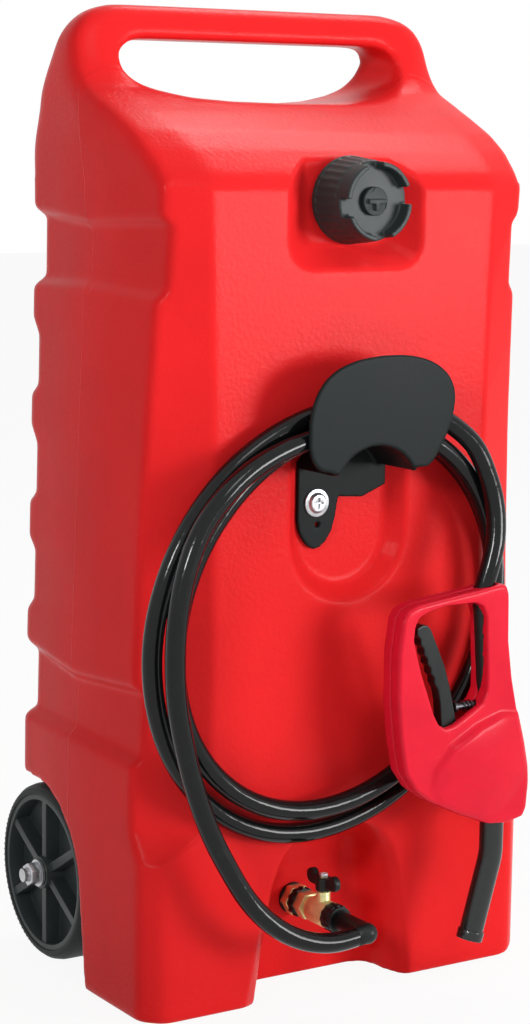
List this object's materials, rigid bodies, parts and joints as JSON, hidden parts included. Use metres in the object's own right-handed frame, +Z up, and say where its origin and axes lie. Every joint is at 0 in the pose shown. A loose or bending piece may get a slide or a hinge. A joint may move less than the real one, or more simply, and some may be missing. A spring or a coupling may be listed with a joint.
{
  "type": "fuel transfer tank",
  "caption": "Upright wheeled fuel tank with a carrying handle, filler cap, drain valve, coiled hose on a bracket and a trigger nozzle.",
  "frame": {"origin": "bottom centre of the object's box, measured without the hose", "axes": "+Z up, the front with the cap and the nozzle looks along -Y, +X to the right seen from the front"},
  "size_m": [0.4369, 0.388, 0.891],
  "materials": {
    "tank_red": "moulded, satin",
    "cap_black": "satin",
    "seal_rubber": "matte",
    "bracket_black": "satin",
    "steel": "zinc plated",
    "brass": "machined",
    "fitting_black": "satin",
    "ball_chrome": "polished",
    "seat_white": "smooth",
    "hose_black": "glossy",
    "nozzle_red": "moulded, soft gloss",
    "trigger_black": "satin",
    "spout_black": "satin",
    "wheel_black": "satin",
    "tyre_black": "matte"
  },
  "bodies": {
    "base": {"tank": "tank_red", "hose_bracket": "bracket_black", "bracket_screw": "steel", "bracket_insert": "brass", "outlet_seal": "seal_rubber", "outlet_fitting": "brass", "lock_ring": "fitting_black", "valve_body": "brass", "valve_seats": "seat_white", "union_nut": "fitting_black", "hose_elbow": "fitting_black", "hose_tail": "hose_black", "hose_coil": "hose_black", "hose_lead": "hose_black", "nozzle_front": "nozzle_red", "nozzle_rear": "nozzle_red", "nozzle_screws": "steel", "feed_tube": "fitting_black", "trigger_pin": "steel", "plunger_spring": "steel", "spout": "spout_black", "spout_ring": "spout_black", "axle": "steel", "axle_washers": "steel", "axle_nuts": "steel"},
    "gasket": {"cap_gasket": "seal_rubber"},
    "cap": {"cap_shell": "cap_black", "cap_insert": "cap_black", "cap_hub": "cap_black"},
    "valve": {"valve_ball": "ball_chrome", "valve_stem": "brass", "valve_handle": "fitting_black", "handle_screw": "steel"},
    "lever": {"trigger": "trigger_black"},
    "pin": {"plunger": "steel"},
    "left_wheel": {"wheel_left": "wheel_black", "tyre_left": "tyre_black"},
    "right_wheel": {"wheel_right": "wheel_black", "tyre_right": "tyre_black"}
  },
  "joints": [
    {"name": "left_wheel_spin", "type": "hinge", "parent": "base", "child": "left_wheel", "pos_m": [-0.178, 0.11, 0.084], "axis": [1, 0, 0], "continuous": true},
    {"name": "right_wheel_spin", "type": "hinge", "parent": "base", "child": "right_wheel", "pos_m": [0.178, 0.11, 0.084], "axis": [1, 0, 0], "continuous": true},
    {"name": "cap_rise", "type": "slide", "parent": "base", "child": "gasket", "axis": [0, -1, 0], "range_m": [0, 0.009]},
    {"name": "cap_turn", "type": "hinge", "parent": "gasket", "child": "cap", "pos_m": [0, -0.122, 0.721], "axis": [0, -1, 0], "range_deg": [0, 540]},
    {"name": "valve_turn", "type": "hinge", "parent": "base", "child": "valve", "pos_m": [-0.019, -0.102, 0.075], "axis": [0, 0, 1], "range_deg": [0, 90]},
    {"name": "trigger_pull", "type": "hinge", "parent": "base", "child": "lever", "pos_m": [0.063, -0.172, 0.249], "axis": [0, 1, 0], "range_deg": [0, 15], "stiffness_Nm_per_rad": 0.6, "springref_deg": -5.73},
    {"name": "plunger_push", "type": "slide", "parent": "base", "child": "pin", "axis": [1, 0, 0], "range_m": [0, 0.0042]}
  ],
  "couplings": [
    {"joint": "cap_rise", "follows": "cap_turn", "m_per_rad": 0.000954},
    {"joint": "plunger_push", "follows": "trigger_pull", "m_per_rad": 0.016}
  ]
}
